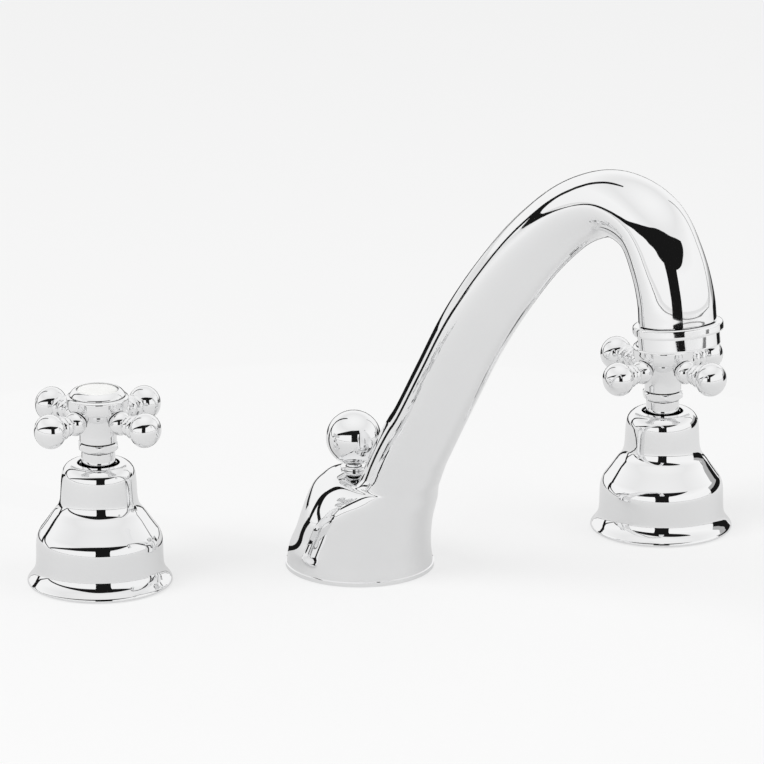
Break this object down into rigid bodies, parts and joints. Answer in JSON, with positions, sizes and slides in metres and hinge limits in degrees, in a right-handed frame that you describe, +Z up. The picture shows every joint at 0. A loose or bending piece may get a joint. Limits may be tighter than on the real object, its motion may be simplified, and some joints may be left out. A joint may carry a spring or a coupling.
{
  "type": "widespread basin faucet",
  "caption": "Chrome basin faucet for separate deck holes: cross-handle valves on bell escutcheons either side of a swan-neck spout with a lift knob.",
  "frame": {"origin": "on the deck's top face, midway between the two valve holes", "axes": "+X from the hot valve to the cold valve, +Y away from the user towards the wall, +Z up"},
  "size_m": [0.2533, 0.1945, 0.2762],
  "materials": {
    "polished_chrome": "polished chrome plate on brass",
    "porcelain": null,
    "brass": "raw machined brass",
    "stainless_steel": "plain stainless steel",
    "rubber": "black rubber",
    "alumina": null,
    "acetal": "moulded acetal"
  },
  "bodies": {
    "fixed": {"hot_escutcheon": "polished_chrome", "hot_escutcheon_seal": "rubber", "hot_top_washer": "stainless_steel", "hot_top_nut": "brass", "hot_valve_body": "brass", "hot_under_washer": "rubber", "hot_under_nut": "brass", "hot_bonnet": "polished_chrome", "hot_seat_seal": "rubber", "hot_fixed_disc": "alumina", "hot_stem_packing": "rubber", "hot_collar_nut": "polished_chrome", "cold_escutcheon": "polished_chrome", "cold_escutcheon_seal": "rubber", "cold_top_washer": "stainless_steel", "cold_top_nut": "brass", "cold_valve_body": "brass", "cold_under_washer": "rubber", "cold_under_nut": "brass", "cold_bonnet": "polished_chrome", "cold_seat_seal": "rubber", "cold_fixed_disc": "alumina", "cold_stem_packing": "rubber", "cold_collar_nut": "polished_chrome", "spout_body": "polished_chrome", "spout_seal": "rubber", "spout_shank": "brass", "spout_under_gasket": "rubber", "spout_clamp_plate": "stainless_steel", "spout_shank_nut": "brass", "spout_outlet_collar": "polished_chrome", "spout_aerator_insert": "acetal", "spout_aerator_washer": "rubber", "lift_rod_guide": "polished_chrome"},
    "hot_handle": {"hot_turning_disc": "alumina", "hot_stem": "brass", "hot_handle_hub": "polished_chrome", "hot_handle_arm_1": "polished_chrome", "hot_handle_arm_2": "polished_chrome", "hot_handle_arm_3": "polished_chrome", "hot_handle_arm_4": "polished_chrome", "hot_handle_screw": "stainless_steel", "hot_cap_ring": "polished_chrome", "hot_index_button": "porcelain"},
    "cold_handle": {"cold_turning_disc": "alumina", "cold_stem": "brass", "cold_handle_hub": "polished_chrome", "cold_handle_arm_1": "polished_chrome", "cold_handle_arm_2": "polished_chrome", "cold_handle_arm_3": "polished_chrome", "cold_handle_arm_4": "polished_chrome", "cold_handle_screw": "stainless_steel", "cold_cap_ring": "polished_chrome", "cold_index_button": "porcelain"},
    "lift_rod": {"lift_rod": "polished_chrome", "lift_knob": "polished_chrome"}
  },
  "joints": [
    {"name": "hot_handle_turn", "type": "hinge", "parent": "fixed", "child": "hot_handle", "pos_m": [-0.1016, 0, 0.0591], "axis": [0, 0, 1], "range_deg": [0, 90]},
    {"name": "cold_handle_turn", "type": "hinge", "parent": "fixed", "child": "cold_handle", "pos_m": [0.1016, 0, 0.0591], "axis": [0, 0, 1], "range_deg": [-90, 0]},
    {"name": "lift_rod_slide", "type": "slide", "parent": "fixed", "child": "lift_rod", "axis": [0, 0, 1], "range_m": [0, 0.022]}
  ]
}
